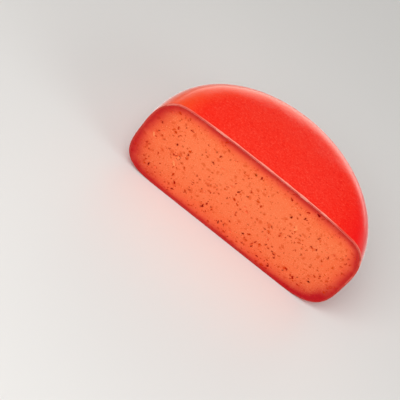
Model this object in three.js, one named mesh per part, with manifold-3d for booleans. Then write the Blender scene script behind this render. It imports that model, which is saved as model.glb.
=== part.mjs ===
// Half of a round red-waxed gouda with herbs, cut straight down through the wheel's middle.
// It stands on its own flat base with the cut facing -Y and the wheel's curved side facing +Y.
// Millimetres, +Z up, with the origin under the middle of the half's box, on its base.

import * as THREE from 'three';
import { mergeVertices } from 'three/addons/utils/BufferGeometryUtils.js';
import Module from 'manifold-3d';

const wasm = await Module();
wasm.setup();

// The wheel. A wheel of this size weighs about 4.5 kg whole.
const WHEEL_DIAMETER = 240;
const WHEEL_HEIGHT = 103;
const TOP_CROWN = 3.1; // how far the top face falls from its middle to its shoulder
const CROWN_BEND = 0.4; // the share of that fall that comes late, near the shoulder

// Each shoulder is a quarter of a superellipse, from the flat face to the middle of the side.
const TOP_SHOULDER = { width: 30, power: 2.8 };
const BASE_SHOULDER = { width: 56, power: 3.6 };

// The red wax, and the hair of air between it and the cheese.
const WAX_THICKNESS = 1.6;
const WAX_GAP = 0.3;

// Slight unevenness of a wheel that was pressed, turned and stored by hand.
const OUT_OF_ROUND = 0.4;
const LEAN = 0.85; // how far the top sinks towards +X and rises towards -X

// Herbs that the knife sliced through, which stand a hair proud of the cut. The largest are placed
// one by one: how far along the cut from its middle, how high, how long, and their slant in degrees.
const LARGEST_HERBS = [
  [-106.5, 68, 3.6, 125],
  [-83, 58, 3.4, 100],
  [-80.5, 82, 3.2, 20],
  [-92.5, 17.5, 3.6, 80],
  [-63.5, 19, 4.2, 130],
  [-61, 10.5, 3, 30],
  [-47.5, 68, 4.2, 172],
  [-29.5, 17.5, 4.6, 85],
  [-7.5, 13.5, 3.4, 115],
  [-4.5, 89.5, 3.6, 100],
  [-12, 59, 3.4, 50],
  [17, 22, 3.8, 20],
  [31, 16, 3, 70],
  [39.5, 75, 3, 60],
  [50, 84, 3.4, 95],
  [54.5, 9.5, 3.6, 75],
  [56.5, 97, 4, 150],
  [71.5, 75, 3.2, 95],
  [79.5, 18, 4, 125],
  [93.5, 26, 4.2, 175],
];

// The rest lie in loose clusters, a little thicker towards the base.
const HERB_CLUSTERS = 90;
const HERBS_PER_CLUSTER = 4;
const CLUSTER_SPREAD = 9;
const SETTLING = 1.25;
const HERB_LENGTH = { least: 1.4, most: 4 };
const HERB_SLENDERNESS = { least: 0.25, most: 0.6 };
const HERB_PROUD = 0.3;
const HERB_SUNK = 0.5;
const HERB_SIDES = 5;
const HERB_NARROWING = 0.85; // a chip's outer face against its foot
const HERB_SPACING = 2.8;
const HERB_SEED = 664;

// Small openings in the paste. The largest is placed by hand: along the cut, how high, and its size.
const LARGEST_EYES = [[-75.5, 46.5, 1.7]];
const EYE_DRAWS = 60;
const EYE_SIZE = { least: 0.6, most: 1.5 };
const EYE_SPACING = 4;
const EYE_SEED = 411;

const BARE_MARGIN = 5; // herbs and eyes keep this far in from the wax

// How finely the round shapes are faceted.
const TURN_STEPS = 88;
const SHOULDER_STEPS = 11;
const FACE_STEPS = 4;

const WAX_COLOUR = 0xe3170f;
const CHEESE_COLOUR = 0xf4763f;

const wheelRadius = WHEEL_DIAMETER / 2;
const middleHeight = WHEEL_HEIGHT / 2;

// A repeatable stream of numbers from 0 to 1.
function randomStream(seed) {
  let state = seed;
  return () => {
    state = (state * 16807) % 2147483647;
    return state / 2147483647;
  };
}

// How far the crowned top has fallen at a radius.
function crownDrop(radius) {
  const share = radius / (wheelRadius - TOP_SHOULDER.width);
  return TOP_CROWN * ((1 - CROWN_BEND) * share ** 2 + CROWN_BEND * share ** 4);
}

// One quarter of the rim's outline at a given turn from the face (0) to the side (a quarter turn):
// its radius, and its height off the middle of the side as a share of the face's.
function shoulderPoint(shoulder, turn) {
  const share = 2 / shoulder.power;
  return {
    radius: wheelRadius - shoulder.width + shoulder.width * Math.sin(turn) ** share,
    height: Math.cos(turn) ** share,
  };
}

// The wheel's outline from the middle of its base out, up the side and in to the middle of its top.
function wheelOutline() {
  const outline = [];
  const baseFlat = wheelRadius - BASE_SHOULDER.width;
  const topFlat = wheelRadius - TOP_SHOULDER.width;
  for (let step = 0; step < FACE_STEPS; step++) {
    outline.push(new THREE.Vector2((baseFlat * step) / FACE_STEPS, 0));
  }
  for (let step = 0; step <= SHOULDER_STEPS; step++) {
    const turn = (step / SHOULDER_STEPS) * (Math.PI / 2);
    const { radius, height } = shoulderPoint(BASE_SHOULDER, turn);
    outline.push(new THREE.Vector2(radius, middleHeight * (1 - height)));
  }
  for (let step = SHOULDER_STEPS - 1; step >= 0; step--) {
    const turn = (step / SHOULDER_STEPS) * (Math.PI / 2);
    const { radius, height } = shoulderPoint(TOP_SHOULDER, turn);
    outline.push(new THREE.Vector2(radius, middleHeight + (middleHeight - crownDrop(radius)) * height));
  }
  for (let step = FACE_STEPS - 1; step >= 0; step--) {
    const radius = (topFlat * step) / FACE_STEPS;
    outline.push(new THREE.Vector2(radius, WHEEL_HEIGHT - crownDrop(radius)));
  }
  return outline;
}

// The same outline moved in by a distance square to itself, with its ends kept on the axis.
function outlineMovedIn(outline, distance) {
  const last = outline.length - 1;
  return outline.map((point, index) => {
    const before = outline[Math.max(index - 1, 0)];
    const after = outline[Math.min(index + 1, last)];
    const along = after.clone().sub(before).normalize();
    const moved = point.clone().add(new THREE.Vector2(-along.y, along.x).multiplyScalar(distance));
    if (index === 0 || index === last) moved.x = 0;
    return moved;
  });
}

// Where a point of the ideal wheel lies on the uneven one.
function uneven(point) {
  const turn = Math.atan2(point.y, point.x);
  const radius = Math.hypot(point.x, point.y);
  const outward = radius / wheelRadius;
  const upward = point.z / WHEEL_HEIGHT;
  const swell = OUT_OF_ROUND * outward * (Math.sin(2 * turn) - 0.35 * Math.sin(3 * turn));
  const sunk = LEAN * upward * (point.x / wheelRadius) ** 3;
  const scale = radius > 0 ? (radius + swell) / radius : 1;
  return point.set(point.x * scale, point.y * scale, point.z - sunk);
}

// A closed three.js geometry as a solid that can be joined and cut.
function solidFrom(geometry) {
  const bare = geometry.clone();
  bare.deleteAttribute('normal');
  bare.deleteAttribute('uv');
  const merged = mergeVertices(bare, 1e-3);
  return new wasm.Manifold(
    new wasm.Mesh({
      numProp: 3,
      vertProperties: new Float32Array(merged.attributes.position.array),
      triVerts: new Uint32Array(merged.index.array),
    }),
  );
}

function geometryFrom(solid) {
  const mesh = solid.getMesh();
  const geometry = new THREE.BufferGeometry();
  geometry.setAttribute('position', new THREE.BufferAttribute(mesh.vertProperties, 3));
  geometry.setIndex(new THREE.BufferAttribute(mesh.triVerts, 1));
  geometry.computeVertexNormals();
  return geometry;
}

// The whole uneven wheel, moved in all over by a distance.
function wholeWheel(inset) {
  const outline = outlineMovedIn(wheelOutline(), inset);
  const lathe = new THREE.LatheGeometry(outline, TURN_STEPS);
  lathe.rotateX(Math.PI / 2);
  const positions = lathe.attributes.position;
  const point = new THREE.Vector3();
  for (let vertex = 0; vertex < positions.count; vertex++) {
    uneven(point.fromBufferAttribute(positions, vertex));
    positions.setXYZ(vertex, point.x, point.y, point.z);
  }
  return solidFrom(lathe);
}

// Everything in front of the cut, which runs through the wheel's axis.
function frontSpace() {
  const side = WHEEL_DIAMETER * 2;
  const box = new THREE.BoxGeometry(side, side, side);
  box.translate(0, -side / 2, 0);
  return solidFrom(box);
}

// How near a place on the cut comes to the bare margin along the wax: 1 is on it and less is clear of it.
function nearnessToWax({ x, z }) {
  const above = z > middleHeight;
  const shoulder = above ? TOP_SHOULDER : BASE_SHOULDER;
  const flat = wheelRadius - shoulder.width;
  const across = Math.max(Math.abs(x) + BARE_MARGIN - flat, 0) / shoulder.width;
  const up = (Math.abs(z - middleHeight) + BARE_MARGIN) / (middleHeight - (above ? crownDrop(x) : 0));
  return across ** shoulder.power + up ** shoulder.power;
}

function between({ least, most }, share) {
  return least + (most - least) * share;
}

function anywhere(next) {
  return { x: (next() - 0.5) * WHEEL_DIAMETER, z: next() ** SETTLING * WHEEL_HEIGHT };
}

function isClear(place, others, spacing) {
  const apart = others.every((other) => Math.hypot(other.x - place.x, other.z - place.z) > spacing);
  return apart && nearnessToWax(place) < 1;
}

// A herb near a cluster's middle, most of them small.
function herbNear(cluster, next) {
  const away = CLUSTER_SPREAD * next();
  const way = 2 * Math.PI * next();
  return {
    x: cluster.x + away * Math.cos(way),
    z: cluster.z + away * Math.sin(way),
    length: between(HERB_LENGTH, next() ** 2),
    slant: Math.PI * next(),
    slenderness: between(HERB_SLENDERNESS, next()),
  };
}

function largestEyes() {
  return LARGEST_EYES.map(([x, z, size]) => ({ x, z, size }));
}

function herbPlaces() {
  const next = randomStream(HERB_SEED);
  const herbs = LARGEST_HERBS.map(([x, z, length, degrees]) => ({
    x,
    z,
    length,
    slant: THREE.MathUtils.degToRad(degrees),
    slenderness: between(HERB_SLENDERNESS, next()),
  }));
  for (let count = 0; count < HERB_CLUSTERS; count++) {
    const cluster = anywhere(next);
    for (let member = 0; member < HERBS_PER_CLUSTER; member++) {
      const herb = herbNear(cluster, next);
      if (isClear(herb, [...herbs, ...largestEyes()], HERB_SPACING)) herbs.push(herb);
    }
  }
  return herbs;
}

function eyePlaces(herbs) {
  const next = randomStream(EYE_SEED);
  const eyes = largestEyes();
  for (let draw = 0; draw < EYE_DRAWS; draw++) {
    const eye = { ...anywhere(next), size: between(EYE_SIZE, next()) };
    if (isClear(eye, [...herbs, ...eyes], EYE_SPACING)) eyes.push(eye);
  }
  return eyes;
}

// A sliced fleck of herb: a flat many-sided chip that narrows a little towards its face.
function herbChip({ x, z, length, slant, slenderness }) {
  const depth = HERB_PROUD + HERB_SUNK;
  const foot = length / 2;
  const chip = new THREE.CylinderGeometry(foot * HERB_NARROWING, foot, depth, HERB_SIDES);
  chip.rotateX(Math.PI);
  chip.scale(1, 1, slenderness);
  chip.rotateY(-slant);
  chip.translate(x, HERB_SUNK - depth / 2, z);
  return solidFrom(chip);
}

// A small opening in the paste, wider along the cut than it is high.
function eyeHollow({ x, z, size }) {
  const hollow = new THREE.IcosahedronGeometry(size, 0);
  hollow.scale(1.2, 0.9, 0.8);
  hollow.translate(x, 0, z);
  return solidFrom(hollow);
}

function cheeseSolid() {
  const herbs = herbPlaces();
  const hollows = wasm.Manifold.union(eyePlaces(herbs).map(eyeHollow));
  const half = wholeWheel(WAX_THICKNESS + WAX_GAP).subtract(frontSpace());
  return wasm.Manifold.union([half.subtract(hollows), ...herbs.map(herbChip)]);
}

function waxSolid() {
  return wholeWheel(0).subtract(wholeWheel(WAX_THICKNESS)).subtract(frontSpace());
}

function piece(name, solid, material) {
  const mesh = new THREE.Mesh(geometryFrom(solid), material);
  mesh.name = name;
  return mesh;
}

const waxMaterial = new THREE.MeshStandardMaterial({ color: WAX_COLOUR, roughness: 0.32, metalness: 0 });
const cheeseMaterial = new THREE.MeshStandardMaterial({ color: CHEESE_COLOUR, roughness: 0.5, metalness: 0 });

const halfWheel = new THREE.Group();
halfWheel.add(piece('wax_coat', waxSolid(), waxMaterial));
halfWheel.add(piece('cheese', cheeseSolid(), cheeseMaterial));

// The origin goes under the middle of the half's box.
const box = new THREE.Box3().setFromObject(halfWheel);
const middle = box.getCenter(new THREE.Vector3());
halfWheel.children.forEach((mesh) => mesh.position.set(-middle.x, -middle.y, -box.min.z));

export default halfWheel;
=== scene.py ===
"""Half of a round red-waxed gouda with herbs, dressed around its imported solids.

The wheel was cut straight down through its middle. The half stands on its own flat base with the cut
towards -Y and the curved side towards +Y. Shapes are worked out in millimetres round the wheel's own
axis, which runs up through the middle of the cut, and each finished mesh is then put in the row frame.
"""

import math

import bmesh
import bpy
from mathutils import Matrix, Vector, noise
from mathutils.kdtree import KDTree


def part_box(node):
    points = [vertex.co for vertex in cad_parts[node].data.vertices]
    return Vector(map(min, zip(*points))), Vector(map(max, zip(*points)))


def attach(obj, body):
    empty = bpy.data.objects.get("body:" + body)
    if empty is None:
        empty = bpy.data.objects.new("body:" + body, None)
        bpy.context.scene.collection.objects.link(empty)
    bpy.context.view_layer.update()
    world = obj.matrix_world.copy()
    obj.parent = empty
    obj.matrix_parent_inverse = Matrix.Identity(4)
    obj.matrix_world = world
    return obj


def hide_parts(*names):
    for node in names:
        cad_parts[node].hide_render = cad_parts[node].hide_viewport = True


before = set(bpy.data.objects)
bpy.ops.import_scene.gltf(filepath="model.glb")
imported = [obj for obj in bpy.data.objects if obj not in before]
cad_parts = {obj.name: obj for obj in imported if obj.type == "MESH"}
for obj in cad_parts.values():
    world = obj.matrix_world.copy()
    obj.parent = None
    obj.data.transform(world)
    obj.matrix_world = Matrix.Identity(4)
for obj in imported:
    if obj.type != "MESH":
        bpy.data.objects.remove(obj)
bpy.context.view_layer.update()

# The wheel, as its solids have it.
WHEEL_RADIUS = 120
WHEEL_HEIGHT = 103
MIDDLE_HEIGHT = WHEEL_HEIGHT / 2
TOP_CROWN = 3.1
CROWN_BEND = 0.4  # the share of the crown's fall that comes late, near the shoulder
TOP_SHOULDER = (30, 2.8)  # width and power of the rounding
BASE_SHOULDER = (56, 3.6)
WAX_THICKNESS = 1.6
OUT_OF_ROUND = 0.4
LEAN = 0.85  # how far the top sinks towards +X and rises towards -X

# The herbs that the solids have fused to the cut: along the cut, height, length and slant in degrees.
LARGEST_HERBS = (
    (-106.5, 68, 3.6, 125),
    (-83, 58, 3.4, 100),
    (-80.5, 82, 3.2, 20),
    (-92.5, 17.5, 3.6, 80),
    (-63.5, 19, 4.2, 130),
    (-61, 10.5, 3, 30),
    (-47.5, 68, 4.2, 172),
    (-29.5, 17.5, 4.6, 85),
    (-7.5, 13.5, 3.4, 115),
    (-4.5, 89.5, 3.6, 100),
    (-12, 59, 3.4, 50),
    (17, 22, 3.8, 20),
    (31, 16, 3, 70),
    (39.5, 75, 3, 60),
    (50, 84, 3.4, 95),
    (54.5, 9.5, 3.6, 75),
    (56.5, 97, 4, 150),
    (71.5, 75, 3.2, 95),
    (79.5, 18, 4, 125),
    (93.5, 26, 4.2, 175),
)
HERB_CLUSTERS = 90
HERBS_PER_CLUSTER = 4
CLUSTER_SPREAD = 9
SETTLING = 1.25
HERB_LENGTH = (1.4, 4)
HERB_SLENDERNESS = (0.25, 0.6)
HERB_SPACING = 2.8
HERB_SEED = 664
LARGEST_EYES = ((-75.5, 46.5, 1.7),)  # along the cut, height and size
EYE_SHAPE = (1.2, 0.9, 0.8)  # its half width, depth and half height, as shares of its size
EYE_DRAWS = 60
EYE_SIZE = (0.6, 1.5)
EYE_SPACING = 4
EYE_SEED = 411
BARE_MARGIN = 5

# The finer crumbs of herb between them.
CRUMB_DRAWS = 900
CRUMB_LENGTH = (0.7, 2.2)
CRUMB_SLENDERNESS = (0.32, 0.68)
CRUMB_SPACING = 1.6
CRUMB_MARGIN = 3
CRUMB_SEED = 37

# Each herb has one crumb that touches it, mostly near one of its ends.
BESIDE_GAP = 0.3
BESIDE_SPREAD = 1.8
BESIDE_SHADES = (0.25, 0.8)

# The crumbs round the largest eye: along the cut, height and slant.
EYE_CRUMB_LENGTH = 1.5
EYE_CRUMB_SLENDERNESS = 0.7
EYE_CRUMBS = (
    (-77.6, 46, 1.4),
    (-74.9, 48.4, 0),
    (-73.1, 47.6, 2.2),
    (-75.4, 43.9, 0.3),
    (-73.9, 43.3, 0.9),
    (-73.2, 45, 1.8),
)

# How finely the looks are meshed.
SHOULDER_STEPS = 30
TOP_STEPS = 26
BASE_STEPS = 8
RIM_TURNS = 200
HIDDEN_TURNS = 60
CUT_CELL = 1.0
EYE_CUTS = 3  # how many times each edge of the cut is divided again round an eye
EYE_SURROUND = 1.7  # how far that goes, as a share of the eye's size
FLAT = 0.05  # a point lies on the cut if it is no further off its plane

# The wax's low waves, as height and length, and its rounded cut edge.
WAX_WAVES = ((0.16, 24), (0.05, 8))
WAVES_FULL = 6  # how far up from the flat base the waves have grown to their full height
CUT_EDGE_ROUNDING = 0.45

# The marks of the knife on the cut, and the paste's grain.
KNIFE_WAVE = 0.07
KNIFE_WAVE_SIZE = (45, 7)  # along the cut and up
PASTE_GRAIN = (0.03, 2.2)  # height and length
RELIEF_FULL = 3  # how far in from the wax both have grown to their full height
EYE_RAGGEDNESS = (0.25, 1.3)  # how uneven an eye's edge is, and how finely

# The camera, as fitted to the photograph.
VIEW_AZIMUTH = -5.38
VIEW_ELEVATION = 39.68
VIEW_ROLL = 41.07
VIEW_DISTANCE = 1.5
VIEW_AIM = (-0.0288, -0.0645)  # right and up of the half's middle, where the lens points
SENSOR_WIDTH = 36
LENS = 141.75

WAX_LOW, WAX_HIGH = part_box("wax_coat")
CUT_Y = WAX_LOW.y
TO_ROW_FRAME = Matrix.Translation((0, CUT_Y, WAX_LOW.z)) @ Matrix.Scale(0.001, 4)


def between(bounds, share):
    return bounds[0] + (bounds[1] - bounds[0]) * share


def number_stream(seed):
    """Repeatable numbers from 0 to 1, drawn as the solids' own herbs were."""
    state = seed
    while True:
        state = state * 16807 % 2147483647
        yield state / 2147483647


# Shapes that the solids share.


def crown_drop(radius):
    """How far the crowned top has fallen at a radius."""
    share = radius / (WHEEL_RADIUS - TOP_SHOULDER[0])
    return TOP_CROWN * ((1 - CROWN_BEND) * share**2 + CROWN_BEND * share**4)


def shoulder_point(shoulder, turn):
    """Radius, and height off the side's middle as a share of the face's, at a turn from face to side."""
    width, power = shoulder
    radius = WHEEL_RADIUS - width + width * math.sin(turn) ** (2 / power)
    return radius, math.cos(turn) ** (2 / power)


def wheel_outline():
    """The wheel's outline as points (radius, height), from the middle of its base round to its top's."""
    base_flat = WHEEL_RADIUS - BASE_SHOULDER[0]
    top_flat = WHEEL_RADIUS - TOP_SHOULDER[0]
    outline = [(base_flat * step / BASE_STEPS, 0) for step in range(BASE_STEPS)]
    for step in range(SHOULDER_STEPS + 1):
        radius, height = shoulder_point(BASE_SHOULDER, step / SHOULDER_STEPS * math.pi / 2)
        outline.append((radius, MIDDLE_HEIGHT * (1 - height)))
    for step in reversed(range(SHOULDER_STEPS)):
        radius, height = shoulder_point(TOP_SHOULDER, step / SHOULDER_STEPS * math.pi / 2)
        outline.append((radius, MIDDLE_HEIGHT + (MIDDLE_HEIGHT - crown_drop(radius)) * height))
    for step in reversed(range(TOP_STEPS)):
        radius = top_flat * step / TOP_STEPS
        outline.append((radius, WHEEL_HEIGHT - crown_drop(radius)))
    return outline


def moved_in(outline, distance):
    """The outline moved in square to itself, with its ends kept on the wheel's axis."""
    moved = []
    last = len(outline) - 1
    for index, point in enumerate(outline):
        before = Vector(outline[max(index - 1, 0)])
        along = (Vector(outline[min(index + 1, last)]) - before).normalized()
        place = Vector(point) + Vector((-along.y, along.x)) * distance
        moved.append((0 if index in (0, last) else place.x, place.y))
    return moved


def uneven(point):
    """Where a point of the ideal wheel lies on this one, which was pressed and turned by hand."""
    turn = math.atan2(point.y, point.x)
    radius = math.hypot(point.x, point.y)
    swell = OUT_OF_ROUND * radius / WHEEL_RADIUS * (math.sin(2 * turn) - 0.35 * math.sin(3 * turn))
    sunk = LEAN * point.z / WHEEL_HEIGHT * (point.x / WHEEL_RADIUS) ** 3
    scale = (radius + swell) / radius if radius else 1
    return Vector((point.x * scale, point.y * scale, point.z - sunk))


def nearness_to_wax(x, z, margin):
    """1 on the line that runs a margin inside the wax, and less on the paste inside it."""
    above = z > MIDDLE_HEIGHT
    width, power = TOP_SHOULDER if above else BASE_SHOULDER
    across = max(abs(x) + margin - (WHEEL_RADIUS - width), 0) / width
    up = (abs(z - MIDDLE_HEIGHT) + margin) / (MIDDLE_HEIGHT - (crown_drop(x) if above else 0))
    return across**power + up**power


def is_clear(x, z, others, spacing, margin=BARE_MARGIN):
    """Whether a place on the cut is far enough from the others and from the wax."""
    apart = all(math.hypot(other["x"] - x, other["z"] - z) > spacing for other in others)
    return apart and nearness_to_wax(x, z, margin) < 1


def anywhere(draw):
    return (draw() - 0.5) * 2 * WHEEL_RADIUS, draw() ** SETTLING * WHEEL_HEIGHT


def herb_near(cluster, draw):
    """A herb near a cluster's middle, most of them small."""
    away = CLUSTER_SPREAD * draw()
    way = 2 * math.pi * draw()
    return {
        "x": cluster[0] + away * math.cos(way),
        "z": cluster[1] + away * math.sin(way),
        "length": between(HERB_LENGTH, draw() ** 2),
        "slant": math.pi * draw(),
        "slenderness": between(HERB_SLENDERNESS, draw()),
    }


def largest_eyes():
    return [{"x": x, "z": z, "size": size} for x, z, size in LARGEST_EYES]


def herb_places():
    """The herbs of the solids' cut face, the largest first."""
    draw = number_stream(HERB_SEED).__next__
    herbs = []
    for x, z, length, degrees in LARGEST_HERBS:
        slenderness = between(HERB_SLENDERNESS, draw())
        slant = math.radians(degrees)
        herbs.append({"x": x, "z": z, "length": length, "slant": slant, "slenderness": slenderness})
    for _ in range(HERB_CLUSTERS):
        cluster = anywhere(draw)
        for _ in range(HERBS_PER_CLUSTER):
            herb = herb_near(cluster, draw)
            if is_clear(herb["x"], herb["z"], herbs + largest_eyes(), HERB_SPACING):
                herbs.append(herb)
    return herbs


def eye_places(herbs):
    """The small openings of the solids' cut face."""
    draw = number_stream(EYE_SEED).__next__
    eyes = largest_eyes()
    for _ in range(EYE_DRAWS):
        x, z = anywhere(draw)
        size = between(EYE_SIZE, draw())
        if is_clear(x, z, herbs + eyes, EYE_SPACING):
            eyes.append({"x": x, "z": z, "size": size})
    return eyes


def crumb_beside(herb, draw):
    """A crumb that touches a herb, mostly near one of its ends."""
    way = herb["slant"] + math.pi * round(draw()) + (draw() - 0.5) * BESIDE_SPREAD
    away = herb["length"] / 2 + BESIDE_GAP
    return {
        "x": herb["x"] + away * math.cos(way),
        "z": herb["z"] + away * math.sin(way),
        "length": between(CRUMB_LENGTH, draw()),
        "slant": math.pi * draw(),
        "slenderness": between(CRUMB_SLENDERNESS, draw()),
        "shades": BESIDE_SHADES,
    }


def eye_crumb(x, z, slant):
    return {
        "x": x,
        "z": z,
        "length": EYE_CRUMB_LENGTH,
        "slant": slant,
        "slenderness": EYE_CRUMB_SLENDERNESS,
        "shades": LARGEST_SHADES,
    }


def crumb_places(herbs):
    """The finest bits of herb, wherever there is room between the others."""
    draw = number_stream(CRUMB_SEED).__next__
    crumbs = [eye_crumb(x, z, slant) for x, z, slant in EYE_CRUMBS]
    for herb in herbs:
        crumb = crumb_beside(herb, draw)
        if is_clear(crumb["x"], crumb["z"], [], 0, CRUMB_MARGIN):
            crumbs.append(crumb)
    for _ in range(CRUMB_DRAWS):
        x, z = anywhere(draw)
        crumb = {"x": x, "z": z, "length": between(CRUMB_LENGTH, draw() ** 2)}
        crumb["slant"] = math.pi * draw()
        crumb["slenderness"] = between(CRUMB_SLENDERNESS, draw())
        crumb["shades"] = CRUMB_SHADES
        if is_clear(x, z, herbs + crumbs, CRUMB_SPACING, CRUMB_MARGIN):
            crumbs.append(crumb)
    return crumbs


# Meshes.


def half_turned(bm, outline, turns):
    """Turns an outline half way round the wheel's axis, from +X over the back to -X."""
    points = [bm.verts.new((radius, 0, height)) for radius, height in outline]
    lines = [bm.edges.new(pair) for pair in zip(points, points[1:])]
    bmesh.ops.spin(
        bm, geom=points + lines, cent=(0, 0, 0), axis=(0, 0, 1), dvec=(0, 0, 0),
        angle=math.pi, steps=turns, use_merge=False, use_duplicate=False,
    )
    bmesh.ops.remove_doubles(bm, verts=bm.verts[:], dist=1e-4)


def finished_piece(bm, name, finish, smooth=True):
    """Puts a finished shape in the row frame as a piece of the half wheel."""
    bm.transform(TO_ROW_FRAME)
    mesh = bpy.data.meshes.new(name)
    for face in bm.faces:
        face.smooth = smooth
    bm.to_mesh(mesh)
    bm.free()
    mesh.materials.append(finish)
    piece = bpy.data.objects.new(name, mesh)
    bpy.context.scene.collection.objects.link(piece)
    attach(piece, "root")
    return piece


def wax_shell(finish):
    """The wax: a thin wall with low waves, and a softly rounded edge at the cut."""
    bm = bmesh.new()
    from_paste = bm.verts.layers.float.new("from_paste")
    half_turned(bm, wheel_outline(), RIM_TURNS)
    bmesh.ops.recalc_face_normals(bm, faces=bm.faces[:])
    bmesh.ops.solidify(bm, geom=bm.faces[:], thickness=WAX_THICKNESS)
    for point in bm.verts:
        if abs(point.co.y) < FLAT:
            point.co.y = 0
    outer_rim = [edge for edge in bm.edges if is_cut_edge(edge) and is_outside(edge)]
    bm.normal_update()
    for point in bm.verts:
        wave = sum(height * noise.noise(point.co / length) for height, length in WAX_WAVES)
        rising = min(point.co.z / WAVES_FULL, 1)
        point.co = uneven(point.co) + point.normal * wave * rising
    bmesh.ops.bevel(
        bm, geom=outer_rim, offset=CUT_EDGE_ROUNDING, offset_type="OFFSET", segments=3, profile=0.5,
        affect="EDGES", clamp_overlap=True, material=-1,
    )
    near_cut = [point for point in bm.verts if point.co.y < 2 * WAX_THICKNESS]
    rim = [point for point in near_cut if abs(point.co.y) < FLAT and is_inside(point.co)]
    tree = point_tree(rim)
    for point in near_cut:
        point[from_paste] = tree.find(point.co)[2]
    piece = finished_piece(bm, "wax_shell", finish)
    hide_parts("wax_coat")
    return piece


def is_outside(edge):
    """Whether a rim edge is on the wax's outer side and not against the paste."""
    return not is_inside((edge.verts[0].co + edge.verts[1].co) / 2)


def is_inside(place):
    """Whether a place on the cut is nearer to the paste than to the wax's outer side."""
    return nearness_to_wax(place.x, place.z, WAX_THICKNESS / 2) < 1


def point_tree(points):
    tree = KDTree(len(points))
    for index, point in enumerate(points):
        tree.insert(point.co, index)
    tree.balance()
    return tree


def sliced(bm, faces, direction, low, high):
    """Slices flat faces into cells, each slice going on with what lies beyond the one before."""
    count = round((high - low) / CUT_CELL)
    for step in range(1, count):
        place = direction * (low + (high - low) * step / count)
        parts = [part for face in faces for part in (*face.verts, *face.edges, face)]
        slices = bmesh.ops.bisect_plane(
            bm, geom=list(dict.fromkeys(parts)), plane_co=place, plane_no=direction, dist=1e-5
        )
        made = [part for part in slices["geom"] if isinstance(part, bmesh.types.BMFace)]
        faces = [face for face in made if (face.calc_center_median() - place).dot(direction) > 0]


def cut_faces(bm):
    return [face for face in bm.faces if all(abs(point.co.y) < FLAT for point in face.verts)]


def pressed_eye(point, eye):
    """How far an eye sinks the cut at a point: a steep little bowl."""
    width, depth, height = (share * eye["size"] for share in EYE_SHAPE)
    raggedness, fineness = EYE_RAGGEDNESS
    across = (point.x - eye["x"]) / width
    up = (point.z - eye["z"]) / height
    away = math.hypot(across, up) * (1 + raggedness * noise.noise(point * fineness))
    return depth * math.sqrt(max(1 - away**2, 0))


def crimson(place, distance, at_end, at_foot):
    """How crimson the rind is: a little along the ends and the foot, and more in a few wide spots."""
    end_strength, end_reach = END_BLUSH
    foot_strength, foot_reach = FOOT_BLUSH
    end = end_strength * at_end * max(1 - distance / end_reach, 0)
    foot = foot_strength * at_foot * max(1 - distance / foot_reach, 0)
    spots = sum(
        strength * max(1 - math.hypot(place.x - x, place.z - z) / reach, 0)
        for x, z, reach, strength in BLUSHES
    )
    return end + foot + spots


def rind_depths(bm, rind, blush, points):
    """Writes how deep in the rind each point of the cut counts as lying, and how crimson it is there.

    Depth counts from the wax in. Less of it counts at the ends, so the rind fades more slowly there than
    at the top. Towards the foot it counts fast at first and slowly after that.
    """
    tree = point_tree([point for edge in bm.edges for point in edge.verts if is_cut_edge(edge)])
    for point in points:
        nearest, _, distance = tree.find(point.co)
        away = (nearest - point.co).normalized()
        at_end, at_foot = away.x**2, min(away.z, 0) ** 2
        from_end = distance / (1 + END_RIND * distance)
        from_foot = min(FOOT_RIND[0] * distance, FOOT_RIND[1] + FOOT_RIND[2] * distance)
        point[rind] = distance + at_end * (from_end - distance) + at_foot * (from_foot - distance)
        point[blush] = crimson(point.co, distance, at_end, at_foot)


def curd_paleness(curd, points):
    """Writes how pale each point of the cut is from the curds that were left whole."""
    for point in points:
        for start, end, width in PALE_CURDS:
            start, end = Vector((start[0], 0, start[1])), Vector((end[0], 0, end[1]))
            share = min(max((point.co - start).dot(end - start) / (end - start).length_squared, 0), 1)
            fade = 1 - (point.co - start.lerp(end, share)).length / width
            point[curd] = max(point[curd], fade)


def herb_stains(stain, points, herbs):
    """Writes how much each point of the cut is stained by the juice of the herbs next to it."""
    tree = KDTree(len(herbs))
    for index, herb in enumerate(herbs):
        tree.insert((herb["x"], 0, herb["z"]), index)
    tree.balance()
    for point in points:
        for _, index, distance in tree.find_range(point.co, STAIN_REACH + HERB_LENGTH[1]):
            fade = 1 - distance / (STAIN_REACH + herbs[index]["length"] / 2)
            point[stain] = max(point[stain], fade)


def is_cut_edge(edge):
    """Whether an edge runs where the flat cut meets the curved body."""
    flat = [all(abs(point.co.y) < FLAT for point in face.verts) for face in edge.link_faces]
    return any(flat) and not all(flat)


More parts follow.
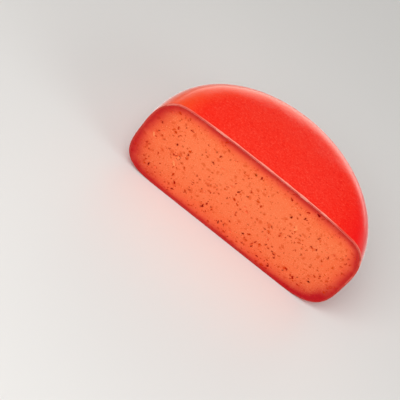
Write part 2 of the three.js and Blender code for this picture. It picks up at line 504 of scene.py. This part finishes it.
def paste(finish, herbs):
    """The cheese inside the wax, with its cut face sliced into small cells, low knife waves and eyes."""
    bm = bmesh.new()
    rind = bm.verts.layers.float.new("rind_depth")
    blush = bm.verts.layers.float.new("blush")
    stain = bm.verts.layers.float.new("stain")
    curd = bm.verts.layers.float.new("curd")
    half_turned(bm, moved_in(wheel_outline(), WAX_THICKNESS), HIDDEN_TURNS)
    for point in bm.verts:
        point.co = uneven(point.co)
    rim = [edge for edge in bm.edges if edge.is_boundary]
    bmesh.ops.edgeloop_fill(bm, edges=rim)
    bmesh.ops.recalc_face_normals(bm, faces=bm.faces[:])
    sliced(bm, cut_faces(bm), Vector((1, 0, 0)), -WHEEL_RADIUS, WHEEL_RADIUS)
    sliced(bm, cut_faces(bm), Vector((0, 0, 1)), 0, WHEEL_HEIGHT)
    eyes = eye_places(herbs)
    near_eyes = [edge for edge in bm.edges if abs(edge.verts[0].co.y) < FLAT and is_near(edge, eyes)]
    bmesh.ops.subdivide_edges(bm, edges=near_eyes, cuts=EYE_CUTS, use_grid_fill=True)
    face_points = list(dict.fromkeys(point for face in cut_faces(bm) for point in face.verts))
    rind_depths(bm, rind, blush, face_points)
    herb_stains(stain, face_points, herbs)
    curd_paleness(curd, face_points)
    for edge in bm.edges:
        edge.smooth = not is_cut_edge(edge)
    knife_length, knife_height = KNIFE_WAVE_SIZE
    grain_height, grain_length = PASTE_GRAIN
    for point in face_points:
        knife_place = Vector((point.co.x / knife_length, 0, point.co.z / knife_height))
        relief = KNIFE_WAVE * noise.noise(knife_place) + grain_height * noise.noise(point.co / grain_length)
        sunk = max(pressed_eye(point.co, eye) for eye in eyes)
        point.co.y += relief * min(point[rind] / RELIEF_FULL, 1) + sunk
    piece = finished_piece(bm, "paste", finish)
    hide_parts("cheese")
    return piece


def is_near(edge, eyes):
    middle = (edge.verts[0].co + edge.verts[1].co) / 2
    away = ((math.hypot(middle.x - eye["x"], middle.z - eye["z"]), eye["size"]) for eye in eyes)
    return any(distance < EYE_SURROUND * size for distance, size in away)


def herb_chip(bm, herb, proud, sides):
    """Makes one flat chip across the cut, and returns its points."""
    depth = proud + HERB_SUNK
    lie = (
        Matrix.Translation((herb["x"], HERB_SUNK - depth / 2, herb["z"]))
        @ Matrix.Rotation(-herb["slant"], 4, "Y")
        @ Matrix.Diagonal((1, 1, herb["slenderness"], 1))
        @ Matrix.Rotation(math.pi / 2, 4, "X")
    )
    foot = herb["length"] / 2
    return bmesh.ops.create_cone(
        bm, cap_ends=True, segments=sides, radius1=foot, radius2=foot * HERB_NARROWING,
        depth=depth, matrix=lie,
    )["verts"]


def curled_and_ragged(points, herb, draw):
    """Curls a chip like a torn leaf and makes its edge uneven."""
    curl = (draw() - 0.5) * HERB_CURL
    middle = Vector((herb["x"], 0, herb["z"]))
    lengthwise = Vector((math.cos(herb["slant"]), 0, math.sin(herb["slant"])))
    crosswise = Vector((-lengthwise.z, 0, lengthwise.x))
    for point in points:
        off_middle = (point.co - middle).dot(lengthwise) / (herb["length"] / 2)
        along = (draw() - 0.5) * HERB_RAGGEDNESS[0]
        across = (draw() - 0.5) * HERB_RAGGEDNESS[1] + (off_middle**2 - CURL_CENTRE) * curl
        point.co += (along * lengthwise + across * crosswise) * herb["length"]


def darker_in_rind(herb, shade):
    """A herb's shade, made dark enough to show in the rind where it lies there."""
    into_rind = nearness_to_wax(herb["x"], herb["z"], 0) - RIND_NEARNESS
    return max(shade, into_rind * RIND_SHADE)


def herb_flecks(finish, herbs, crumbs):
    """All the bits of herb as one piece: uneven chips, sunk in the cut and barely proud of it."""
    bm = bmesh.new()
    tint = bm.verts.layers.float.new("tint")
    draw = number_stream(TINT_SEED).__next__
    for index, herb in enumerate(herbs + crumbs):
        if index < len(herbs):
            points = herb_chip(bm, herb, HERB_PROUD, HERB_SIDES)
        else:
            points = herb_chip(bm, herb, CRUMB_PROUD, CRUMB_SIDES)
        if index < len(LARGEST_HERBS):
            shade = between(LARGEST_SHADES, draw())
        else:
            shade = darker_in_rind(herb, between(herb.get("shades", HERB_SHADES), draw()))
        for point in points:
            point[tint] = shade
        curled_and_ragged(points, herb, draw)
    bmesh.ops.recalc_face_normals(bm, faces=bm.faces[:])
    return finished_piece(bm, "herb_flecks", finish, smooth=False)


# Finishes.


def base_colour(levels, veil):
    """The base colour that a screen shows at levels from 0 to 255, once the studio has lit it.

    The veil is the light that the surface's gloss adds over all of it.
    """
    linear = (((level / 255 + 0.055) / 1.055) ** 2.4 for level in levels)
    return (*(max(level - veil, DARKEST) / LIGHT_LEVEL for level in linear), 1)


def seen(*levels):
    """The base colour of something glossy."""
    return base_colour(levels, GLOSS_VEIL)


def seen_matt(*levels):
    """The base colour of something with little gloss."""
    return base_colour(levels, MATT_VEIL)


class Signal:
    """A value that varies over a surface. A sum with it adds its Math node."""

    def __init__(self, finish, socket):
        self.finish = finish
        self.socket = socket

    def sum(self, operation, first, second):
        return self.finish.node("ShaderNodeMath", {"operation": operation}, {0: first, 1: second})

    def __add__(self, other):
        return self.sum("ADD", self, other)

    __radd__ = __add__

    def __sub__(self, other):
        return self.sum("SUBTRACT", self, other)

    def __rsub__(self, other):
        return self.sum("SUBTRACT", other, self)

    def __mul__(self, other):
        return self.sum("MULTIPLY", self, other)

    __rmul__ = __mul__

    def __truediv__(self, other):
        return self.sum("DIVIDE", self, other)


class Finish:
    """A node tree that is written as calls."""

    def __init__(self, tree):
        self.tree = tree
        tree.nodes.clear()

    def node(self, kind, settings=None, values=None, output=0):
        """Adds a node, gives it its settings and its values or links, and returns one of its outputs."""
        made = self.tree.nodes.new(kind)
        for key, value in (settings or {}).items():
            if key == "stops":
                self.set_stops(made.color_ramp, value)
            else:
                setattr(made, key, value)
        for key, value in (values or {}).items():
            if isinstance(value, Signal):
                self.tree.links.new(value.socket, made.inputs[key])
            else:
                made.inputs[key].default_value = value
        return Signal(self, made.outputs[output]) if made.outputs else made

    def set_stops(self, ramp, stops):
        while len(ramp.elements) < len(stops):
            ramp.elements.new(0.5)
        for element, (position, colour) in zip(ramp.elements, stops):
            element.position = position
            element.color = colour

    def place(self, scale=(1, 1, 1)):
        """Object coordinates, stretched."""
        here = self.node("ShaderNodeTexCoord", output="Object")
        return self.node("ShaderNodeMapping", values={"Vector": here, "Scale": scale})

    def noise(self, place, scale, detail=2.0, roughness=0.5):
        values = {"Vector": place, "Scale": scale, "Detail": detail, "Roughness": roughness}
        return self.node("ShaderNodeTexNoise", values=values)

    def ramp(self, factor, *stops):
        return self.node("ShaderNodeValToRGB", {"stops": stops}, {"Fac": factor})

    def smooth(self, value, low, high):
        """0 at low and 1 at high, with a soft start and end."""
        values = {"Value": value, "From Min": low, "From Max": high}
        return self.node("ShaderNodeMapRange", {"interpolation_type": "SMOOTHSTEP"}, values)

    def mix(self, factor, first, second, blend="MIX"):
        settings = {"data_type": "RGBA", "blend_type": blend, "clamp_factor": True}
        return self.node("ShaderNodeMix", settings, {0: factor, 6: first, 7: second}, output=2)

    def attribute(self, name):
        return self.node("ShaderNodeAttribute", {"attribute_name": name}, output="Fac")

    def part(self, vector, axis):
        """One of a vector's three numbers."""
        return self.node("ShaderNodeSeparateXYZ", values={"Vector": vector}, output=axis)

    def share_ramp(self, value, reach, *stops):
        """A ramp over lengths from half a reach below 0 to half above, its colours at lengths."""
        return self.ramp(value / reach + 0.5, *((at / reach + 0.5, tone) for at, tone in stops))

    def bump(self, height, strength, distance):
        values = {"Height": height, "Strength": strength, "Distance": distance}
        return self.node("ShaderNodeBump", values=values)

    def surface(self, **values):
        """Ends the tree in a Principled surface."""
        named = {key.replace("_", " "): value for key, value in values.items()}
        shader = self.node("ShaderNodeBsdfPrincipled", values=named)
        self.node("ShaderNodeOutputMaterial", values={"Surface": shader})


def new_finish(name):
    material = bpy.data.materials.new(name)
    material.use_nodes = True
    return material, Finish(material.node_tree)


def wax_red(wax, here, grain, mottle):
    """The wax's red: deeper to the right, grained, and more orange on the top's left shoulder.

    The deeper right end is painted shade, and the shoulder's orange is a painted glow.
    """
    along = wax.part(here, "X")
    drift = (wax.noise(here, 14, 3) - 0.5) * WAX_DRIFT
    # Deeper towards the right end: painted shade.
    red = wax.share_ramp(along + drift, WAX_REACH, *WAX_TONES_AND_SHADE)
    red = wax.mix(wax.smooth(grain, 0.5, 0.75), red, WAX_DEEP)
    # The paler grain and mottle fade out at the right end, as part of the painted shade there.
    paleness_out_of_shade = wax.smooth(along, *RIGHT_SHADE_ENDS) * 0.8 + 0.2
    red = wax.mix(wax.smooth(grain, 0.5, 0.25) * paleness_out_of_shade * 0.6, red, WAX_PALE)
    # Painted glow: an orange band on the top's shoulder, standing in for the light from behind.
    red = wax.mix(painted_shoulder_glow(wax, here, along), red, WAX_SHOULDER_GLOW)
    return wax.mix(((mottle - 0.5) * 0.5 + 0.05) * paleness_out_of_shade, red, WAX_PALE)


def painted_shoulder_glow(wax, here, along):
    """How much painted glow the wax has: on the top's shoulder, most at the left, and fading down the side.
    """
    measure = {"operation": "DISTANCE"}
    ends = {0: wax.place((1, 1, 0)), 1: (0, CUT_Y, 0)}
    from_axis = wax.node("ShaderNodeVectorMath", measure, ends, "Value")
    round_about = wax.smooth(along, 0.05, -0.05) * 0.4 + wax.smooth(along, 0.09, 0.04) * 0.35
    shoulder = wax.smooth(from_axis, *GLOW_RADII) * wax.smooth(wax.part(here, "Z"), *GLOW_HEIGHTS)
    return shoulder * round_about


def bruise_and_highlight_edge(wax, here):
    """How pale the wax's cut edge is: a ragged knife bruise, and a painted highlight mostly along the top.
    """
    along, into, upward = (wax.part(here, axis) for axis in "XYZ")
    ragged = wax.noise(here, 300, 3, 0.7)
    chipped = wax.smooth(wax.noise(here, 95, 2), 0.56, 0.66)
    pale_edge = wax.attribute("from_paste") + (ragged - 0.5) * 1.2 + chipped * 0.35
    at_rim = wax.smooth(into - chipped * CHIP_DEPTH, CUT_Y + PALE_EDGE_ZONE[0], CUT_Y + PALE_EDGE_ZONE[1])
    greys = ((at, (share, share, share, 1)) for at, share in EDGE_PALENESS_AND_HIGHLIGHT)
    paleness = wax.share_ramp(along, WAX_REACH, *greys)
    high = wax.smooth(upward, 0.055, 0.095) * 0.65 + wax.smooth(upward, 0.015, 0.04) * 0.35
    return wax.smooth(pale_edge, 1, 1.5) * at_rim * high * paleness


def red_wax():
    """Satin red wax with a fine grain and brushed streaks, and a pale edge where the knife went.

    The pale edge is partly bruise and partly a painted highlight, mostly along the top.
    """
    material, wax = new_finish("red_wax")
    here = wax.node("ShaderNodeTexCoord", output="Object")
    grain = wax.noise(here, 620, 3, 0.65)
    mottle = wax.noise(here, 210, 3, 0.6)
    streaks = wax.noise(wax.place((40, 40, 900)), 1, 3, 0.6)
    at_cut = wax.smooth(wax.part(here, "Y"), CUT_Y + CUT_ZONE[0], CUT_Y + CUT_ZONE[1])
    # The wax's cut face is darker low down and lighter near the top: painted shade and painted light.
    shaded_cut_red = wax.ramp(wax.part(here, "Z") / (WHEEL_HEIGHT / 1000), *WAX_CUT_SHADED)
    cut_wax = wax.mix(at_cut, wax_red(wax, here, grain, mottle), shaded_cut_red)
    # The pale cut edge: partly knife bruise and partly painted highlight, mostly along the top.
    colour = wax.mix(bruise_and_highlight_edge(wax, here), cut_wax, WAX_EDGE_BRUISE_AND_HIGHLIGHT)
    relief = mottle * 0.5 + streaks * 0.35 + grain * 0.3
    wax.surface(
        Base_Color=colour,
        Roughness=0.11 + (mottle - 0.5) * 0.06 + at_cut * 0.2,
        IOR=1.5,
        Specular_Tint=(1, 0.92, 0.8, 1),
        Sheen_Weight=0.9,
        Sheen_Roughness=0.22,
        Sheen_Tint=(1, 0.93, 0.9, 1),
        Normal=wax.bump(relief, 0.35, 0.0004),
    )
    return material


def buried_flecks(cheese, here):
    """How much each place shows of the blurred flecks just under the cut, of two sizes."""
    along, upward = cheese.part(here, "X"), cheese.part(here, "Z")
    bent = (cheese.noise(here, 260, 2) - 0.5) * FLECK_BEND
    turned = (cheese.noise(here, 190, 2) - 0.5) * FLECK_BEND
    total = 0
    for size, share, strength in BURIED_FLECKS:
        across = (along + bent) / size
        up = (upward + turned) / size
        place = cheese.node("ShaderNodeCombineXYZ", values={"X": across, "Y": up})
        on_cut = {"Vector": place, "Scale": 1.0}
        flat = {"voronoi_dimensions": "2D"}
        away = cheese.node("ShaderNodeTexVoronoi", flat, on_cut, output="Distance")
        chance = cheese.node("ShaderNodeTexVoronoi", flat, on_cut, output="Color")
        pick = cheese.node("ShaderNodeSeparateColor", values={"Color": chance})
        reach = cheese.smooth(pick, 1 - share, 1) * FLECK_REACH
        total = total + cheese.smooth(reach - away, *FLECK_BLUR) * strength
    return total


def herb_paste():
    """Orange paste that darkens to a crimson rind, with blurred flecks that lie just under the cut."""
    material, cheese = new_finish("herb_paste")
    here = cheese.node("ShaderNodeTexCoord", output="Object")
    clouds = cheese.noise(here, 90, 3)
    fine = cheese.noise(here, 850, 2)
    depth = cheese.attribute("rind_depth") + (clouds - 0.5) * RIND_WANDER
    colour = cheese.ramp(depth / RIND_REACH, *((at / RIND_REACH, tone) for at, tone in RIND_TONES))
    blush = cheese.attribute("blush") * (cheese.smooth(depth, *BLUSH_FADES) * 0.8 + 0.2)
    colour = cheese.mix(blush, colour, RIND_BLUSH)
    colour = cheese.mix((clouds - 0.5) * 0.3, colour, PASTE_PALE)
    colour = cheese.mix((fine - 0.5) * 0.9, colour, PASTE_DEEP)
    curds = cheese.smooth(cheese.noise(here, 1100, 2, 0.6), 0.55, 0.68)
    colour = cheese.mix(curds * cheese.smooth(depth, *CURDS_BEGIN) * 0.8, colour, PASTE_PALE)
    whole_curd = cheese.smooth(cheese.attribute("curd") + (fine - 0.5) * 0.8, 0.2, 1)
    colour = cheese.mix(whole_curd * 0.5, colour, CURD)
    colour = cheese.mix(buried_flecks(cheese, here), colour, FLECK_SHADE, "MULTIPLY")
    stained = cheese.smooth(cheese.attribute("stain") + (fine - 0.5) * 0.5, 0.1, 0.9) * STAIN_STRENGTH
    colour = cheese.mix(stained, colour, STAIN_SHADE, "MULTIPLY")
    grain = cheese.noise(here, 1100, 3, 0.6)
    cheese.surface(
        Base_Color=colour,
        Roughness=0.5 + (clouds - 0.5) * 0.15,
        IOR=1.2,
        Normal=cheese.bump(grain + clouds * 0.6, 0.2, 0.0004),
    )
    return material


def herb_bits():
    """Herbs from faint and paste-stained to dark green-brown, and some dark red."""
    material, herb = new_finish("herb_bits")
    here = herb.node("ShaderNodeTexCoord", output="Object")
    speckle = herb.noise(here, 1500, 2)
    colour = herb.ramp(herb.attribute("tint") + (speckle - 0.5) * 0.25, *HERB_TONES)
    herb.surface(Base_Color=colour, Roughness=0.6, IOR=1.05, Normal=herb.bump(speckle, 0.4, 0.0003))
    return material


# What the studio does to a colour. The colours below are as a screen shows them. Lengths that a finish
# compares with its place are in metres, and those on the cut, in the rind and of a herb in millimetres.
LIGHT_LEVEL = 1.03
GLOSS_VEIL = 0.017
MATT_VEIL = 0.008
DARKEST = 0.002

# The wax, with its tones from left to right; the deeper red at the right end is painted shade.
WAX_REACH = 0.24
WAX_DRIFT = 0.03
WAX_TONES_AND_SHADE = (
    (-0.1, seen(254, 48, 32)),
    (-0.04, seen(254, 56, 43)),
    (0.04, seen(255, 56, 45)),
    (0.07, seen(255, 47, 33)),
    (0.09, seen(252, 4, 2)),
)
# The shoulder's painted glow, and below it where that glow begins and is full.
WAX_SHOULDER_GLOW = seen(255, 102, 52)
GLOW_RADII = (0.08, 0.115)  # from the axis, where the shoulder's tint begins and is full
GLOW_HEIGHTS = (0.042, 0.1)  # and the same up the side
WAX_DEEP = seen(240, 38, 24)
WAX_PALE = seen(255, 95, 75)
# Where the painted shade at the right end takes the paler grain away.
RIGHT_SHADE_ENDS = (0.1, 0.07)  # along the cut, where the paler grain ends at the right

# The wax's cut edge: how far back from the cut it and its pale edge begin and are full, its red from the
# base up, painted darker low down, and how pale the edge is from left to right, partly bruise and partly
# painted highlight.
CUT_ZONE = (0.0016, 0.0008)
PALE_EDGE_ZONE = (0.0011, 0.0005)
CHIP_DEPTH = 0.0005
# Darker low down as painted shade, and lighter high up as painted light.
WAX_CUT_SHADED = (
    (0.0, seen(184, 38, 32)),
    (0.25, seen(190, 48, 42)),
    (0.85, seen(205, 58, 48)),
    (0.96, seen(232, 72, 58)),
)
# How pale the edge is from left to right: bruise, with a painted highlight strongest along the middle.
EDGE_PALENESS_AND_HIGHLIGHT = (
    (-0.12, 0.6),
    (-0.1, 0.4),
    (-0.085, 0.2),
    (-0.066, 0.85),
    (0.066, 1),
    (0.077, 0.1),
    (0.092, 0.05),
    (0.105, 0.5),
)
# The pale edge's colour: bruised wax and painted highlight.
WAX_EDGE_BRUISE_AND_HIGHLIGHT = seen(255, 152, 133)

# The rind: how deep it reaches and how unevenly, how it fades at the ends and the foot, and its tones.
RIND_REACH = 40
RIND_WANDER = 3
END_RIND = 0.028  # how much less depth counts at the ends than at the top, for each millimetre
FOOT_RIND = (1.6, 3.9, 0.5)  # at the foot, its first slope, and the start and slope of the rest
RIND_TONES = (
    (0, seen_matt(202, 60, 52)),
    (1.4, seen_matt(194, 49, 43)),
    (2.4, seen_matt(204, 53, 45)),
    (4.4, seen_matt(225, 75, 55)),
    (6.4, seen_matt(240, 91, 61)),
    (8.4, seen_matt(246, 101, 63)),
    (12.4, seen_matt(250, 112, 67)),
    (18.4, seen_matt(252, 119, 73)),
    (36, seen_matt(253, 124, 77)),
)

# The crimson in the rind: its strength and reach along the ends and the foot, and its wide spots.
END_BLUSH = (0.32, 16)
FOOT_BLUSH = (0.5, 7)
BLUSHES = (  # along the cut, height, reach and strength
    (-98, 16, 32, 0.7),
    (-106, 80, 28, 0.35),
    (106, 16, 30, 1.1),
    (78, 2, 26, 0.6),
)
BLUSH_FADES = (14, 3)  # into the rind, where it is faint and where it is full
RIND_BLUSH = seen_matt(190, 18, 36)

# The paste, with fine pale curds from some way in, and curds that were left whole.
PASTE_PALE = seen_matt(255, 160, 112)
PASTE_DEEP = seen_matt(248, 82, 34)
CURDS_BEGIN = (3, 14)
PALE_CURDS = (  # from, to and half width
    ((-107, 51.9), (-105.1, 48.6), 1.9),
    ((-75.9, 38.4), (-73.9, 35.8), 2.2),
    ((-75.4, 46.6), (-74.8, 45.4), 1.7),
    ((48.7, 70.1), (50.9, 67.5), 1.5),
    ((50.9, 67.5), (49.4, 64.5), 1.5),
)
CURD = seen_matt(255, 178, 112)

# Flecks just under the cut, and the stain round each herb. A shade is what is left of the paste's colour.
BURIED_FLECKS = ((0.0075, 0.6, 0.55), (0.0042, 0.5, 0.45))  # cell, share with a fleck, strength
FLECK_BEND = 0.007  # how far the pattern wanders
FLECK_REACH = 0.34  # of the largest fleck, as a share of its cell
FLECK_BLUR = (-0.04, 0.2)
FLECK_SHADE = (0.8, 0.32, 0.03, 1)
STAIN_SHADE = (0.66, 0.25, 0.0, 1)
STAIN_STRENGTH = 0.45
STAIN_REACH = 1.1

# The herbs: their tones from as pale as the paste (0) to the darkest (1), their form, and who has which.
HERB_TONES = (
    (0.0, seen_matt(230, 84, 34)),
    (0.35, seen_matt(212, 60, 18)),
    (0.6, seen_matt(198, 38, 2)),
    (0.8, seen_matt(174, 10, 0)),
    (0.93, seen_matt(132, 4, 0)),
    (1.0, seen_matt(146, 2, 0)),
)
HERB_SIDES = 9
CRUMB_SIDES = 6
HERB_PROUD = 0.15
CRUMB_PROUD = 0.06
HERB_SUNK = 0.5
HERB_NARROWING = 0.8  # a chip's outer face against its foot
HERB_RAGGEDNESS = (0.42, 0.26)  # along and across a herb, as shares of its length
HERB_CURL = 0.9  # how far a herb's ends bend across it, as a share of its length
CURL_CENTRE = 0.4  # what is taken off the bend, so that a chip stays in its place
LARGEST_SHADES = (0.76, 1)
HERB_SHADES = (0, 0.9)
CRUMB_SHADES = (0, 0.7)
RIND_NEARNESS = 0.5  # how near to the wax the rind begins to darken a herb
RIND_SHADE = 2
TINT_SEED = 2032


# The studio. Lights are given by place, aim, size and power.
SOFTBOX_COLOUR = (2.6, 2.55, 2.4, 1)
KEY_LIGHT = ((-0.4, -0.78, 1.05), (0, 0, 0.04), (1.0, 1.0), 14.5)
FILL_LIGHT = ((1.2, -0.5, 0.7), (0, 0, 0.05), (0.9, 0.9), 6.3)
FLOOR_HALF_WIDTH = 4


def pale_floor():
    bm = bmesh.new()
    bmesh.ops.create_grid(bm, x_segments=1, y_segments=1, size=FLOOR_HALF_WIDTH)
    mesh = bpy.data.meshes.new("floor")
    bm.to_mesh(mesh)
    bm.free()
    material, floor = new_finish("pale_floor")
    floor.surface(Base_Color=seen(226, 224, 221), Roughness=0.32)
    mesh.materials.append(material)
    plane = bpy.data.objects.new("floor", mesh)
    bpy.context.scene.collection.objects.link(plane)


def studio_sky():
    """A dim room, brighter low down and overhead, with a large softbox behind the cheese."""
    world = bpy.data.worlds.new("studio")
    bpy.context.scene.world = world
    world.use_nodes = True
    sky = Finish(world.node_tree)
    way = sky.node("ShaderNodeTexCoord", output="Generated")
    across, away, up = (sky.part(way, axis) for axis in "XYZ")
    room = sky.ramp(
        up,
        (0.0, (0.4, 0.4, 0.4, 1)),
        (0.2, (0.4, 0.4, 0.4, 1)),
        (0.5, (0.11, 0.11, 0.11, 1)),
        (0.7, (0.15, 0.15, 0.15, 1)),
        (1.0, (0.8, 0.8, 0.8, 1)),
    )
    lit = sky.mix(softbox(sky, across, away, up), room, SOFTBOX_COLOUR)
    light = sky.node("ShaderNodeBackground", values={"Color": lit})
    sky.node("ShaderNodeOutputWorld", values={"Surface": light})


def softbox(sky, across, away, up):
    """Where the softbox hangs: a panel behind the cheese with soft edges and slanted ends.

    Right and high are measured on the panel, as shares of its distance. Its top rises to the left.
    """
    right = across / away
    high = up / away
    right_end = sky.smooth(right + high * 0.85, 0.8, 0.34)
    left_end = sky.smooth(right - high, -1.0, -0.14)
    leftward = sky.node("ShaderNodeMath", {"operation": "MAXIMUM"}, {0: right * -1, 1: 0})
    top = sky.smooth(high, leftward * 0.9 + 0.565, 0.45)
    in_front = sky.smooth(away, 0.02, 0.1)
    return right_end * left_end * top * in_front


def soft_light(name, place, aim, size, power):
    light = bpy.data.lights.new(name, "AREA")
    light.shape = "RECTANGLE"
    light.size, light.size_y = size
    light.energy = power
    lamp = bpy.data.objects.new(name, light)
    lamp.visible_camera = False
    lamp.location = place
    lamp.rotation_mode = "QUATERNION"
    lamp.rotation_quaternion = (Vector(aim) - Vector(place)).to_track_quat("-Z", "Y")
    bpy.context.scene.collection.objects.link(lamp)


def camera():
    """Looks at the half wheel as the photograph does, tilted about the line of sight."""
    azimuth, elevation = math.radians(VIEW_AZIMUTH), math.radians(VIEW_ELEVATION)
    back = Vector((
        math.sin(azimuth) * math.cos(elevation),
        -math.cos(azimuth) * math.cos(elevation),
        math.sin(elevation),
    ))
    right = Vector((math.cos(azimuth), math.sin(azimuth), 0))
    middle = Vector((0, CUT_Y + WHEEL_RADIUS / 2000, MIDDLE_HEIGHT / 1000))
    place = middle + back * VIEW_DISTANCE
    aim = middle + right * VIEW_AIM[0] + back.cross(right) * VIEW_AIM[1]
    lens = bpy.data.cameras.new("camera")
    lens.sensor_width = SENSOR_WIDTH
    lens.lens = LENS
    eye = bpy.data.objects.new("camera", lens)
    looking = (aim - place).to_track_quat("-Z", "Y").to_matrix().to_4x4()
    rolled = Matrix.Rotation(math.radians(VIEW_ROLL), 4, "Z")
    eye.matrix_world = Matrix.Translation(place) @ looking @ rolled
    bpy.context.scene.collection.objects.link(eye)
    bpy.context.scene.camera = eye


herbs = herb_places()
crumbs = crumb_places(herbs)
wax_shell(red_wax())
paste(herb_paste(), herbs)
herb_flecks(herb_bits(), herbs, crumbs)
pale_floor()
studio_sky()
soft_light("key", *KEY_LIGHT)
soft_light("fill", *FILL_LIGHT)
camera()
bpy.context.scene.view_settings.view_transform = "Standard"
